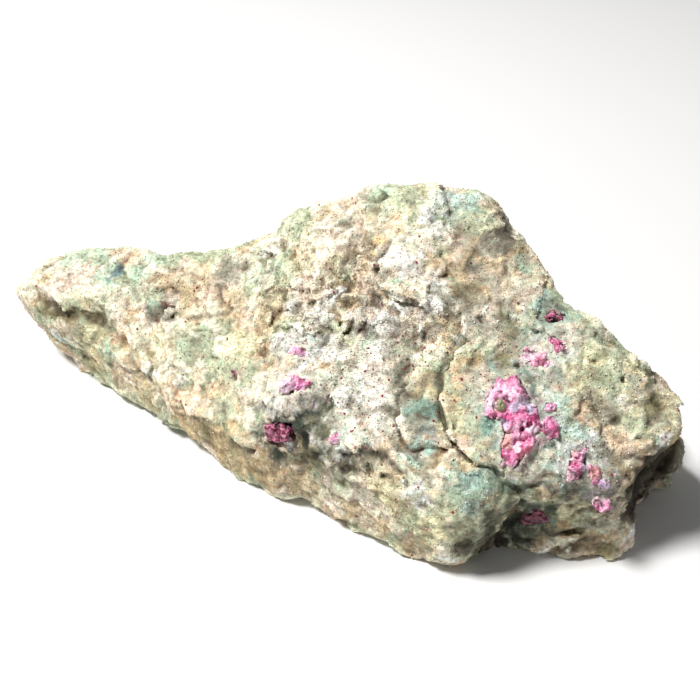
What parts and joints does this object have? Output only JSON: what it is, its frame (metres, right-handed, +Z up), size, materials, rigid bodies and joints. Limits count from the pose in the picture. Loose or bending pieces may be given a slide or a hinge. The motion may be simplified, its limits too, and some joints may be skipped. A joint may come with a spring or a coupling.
{
  "type": "ruby specimen",
  "caption": "Rough hand specimen of pink ruby crystals seated in a wedge-shaped block of pale green mica schist, resting on a flat sole.",
  "frame": {"origin": "on the plane that the stone rests on, under the middle of its box", "axes": "+X along the stone's long axis, from the thin wing towards the blunt end; +Z up; -Y is the side that the broad sloping face with the rubies looks to"},
  "size_m": [0.1552, 0.0902, 0.0563],
  "materials": {
    "schist": "rough broken mica schist, granular, pale green to cream with tan and teal areas",
    "ruby_pink": "broken granular corundum, satin to glassy, strong pink",
    "ruby_rose": "broken granular corundum, satin, rose pink",
    "ruby_pale": "granular corundum, matt, pale pink",
    "ruby_crimson": "granular corundum, glassy, dark crimson",
    "ruby_lilac": "granular corundum, matt, pale lilac",
    "ruby_maroon": "small dark corundum, glassy, maroon"
  },
  "bodies": {
    "root": {"schist_matrix": "schist", "ruby_cluster": "ruby_pink", "ruby_above_cluster": "ruby_rose", "ruby_shelf_top": "ruby_pink", "ruby_beside_cluster": "ruby_pale", "ruby_shelf_front": "ruby_pink", "ruby_shelf_fringe": "ruby_rose", "ruby_shelf_lilac": "ruby_lilac", "ruby_shelf_edge": "ruby_pink", "ruby_shelf_dark": "ruby_crimson", "ruby_in_throat": "ruby_crimson", "ruby_under_knob": "ruby_crimson", "ruby_on_knob": "ruby_pink", "ruby_above_knob": "ruby_pale", "ruby_low_centre": "ruby_pale", "ruby_wing_dark": "ruby_maroon", "ruby_back_large": "ruby_pink", "ruby_back_small": "ruby_crimson", "ruby_back_wing": "ruby_rose", "ruby_back_heel": "ruby_pink"}
  },
  "joints": []
}
